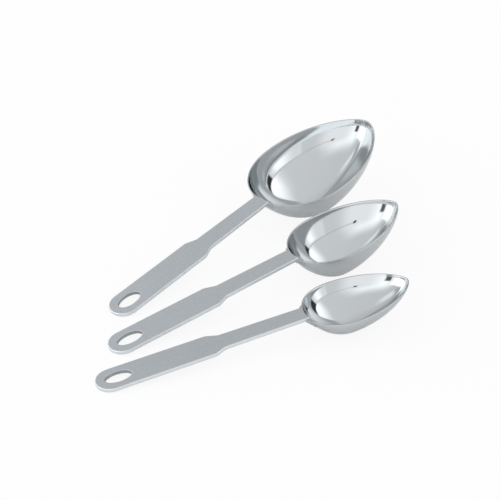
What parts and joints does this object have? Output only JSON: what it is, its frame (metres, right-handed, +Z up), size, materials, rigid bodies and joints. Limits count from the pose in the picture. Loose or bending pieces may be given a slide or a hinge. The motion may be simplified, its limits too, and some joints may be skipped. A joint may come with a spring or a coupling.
{
  "type": "measuring spoon",
  "caption": "Matched measuring spoons of stepped sizes: pointed egg-shaped polished steel bowls, each welded to a flat satin bar handle with shoulders and an oval hang hole.",
  "frame": {"origin": "centre of the set's bounding box, on the table the spoons lie on", "axes": "+Z up from the table; +Y across the fan from the small spoon to the large one; +X the way the bowls point, grips towards -X"},
  "size_m": [0.1996, 0.2682, 0.049],
  "materials": {
    "polished_bowl": "mirror-polished stainless steel",
    "satin_bar": "satin stainless steel",
    "weld": "cleaned stainless weld"
  },
  "bodies": {
    "large_spoon": {"large_bowl": "polished_bowl", "large_handle": "satin_bar", "large_weld_bead": "weld"},
    "medium_spoon": {"medium_bowl": "polished_bowl", "medium_handle": "satin_bar", "medium_weld_bead": "weld"},
    "small_spoon": {"small_bowl": "polished_bowl", "small_handle": "satin_bar", "small_weld_bead": "weld"}
  },
  "joints": [
    {"name": "medium_lift", "type": "slide", "parent": "large_spoon", "child": "medium_spoon", "axis": [0, 0, 1], "range_m": [0, 0.08]},
    {"name": "small_lift", "type": "slide", "parent": "large_spoon", "child": "small_spoon", "axis": [0, 0, 1], "range_m": [0, 0.08]}
  ]
}
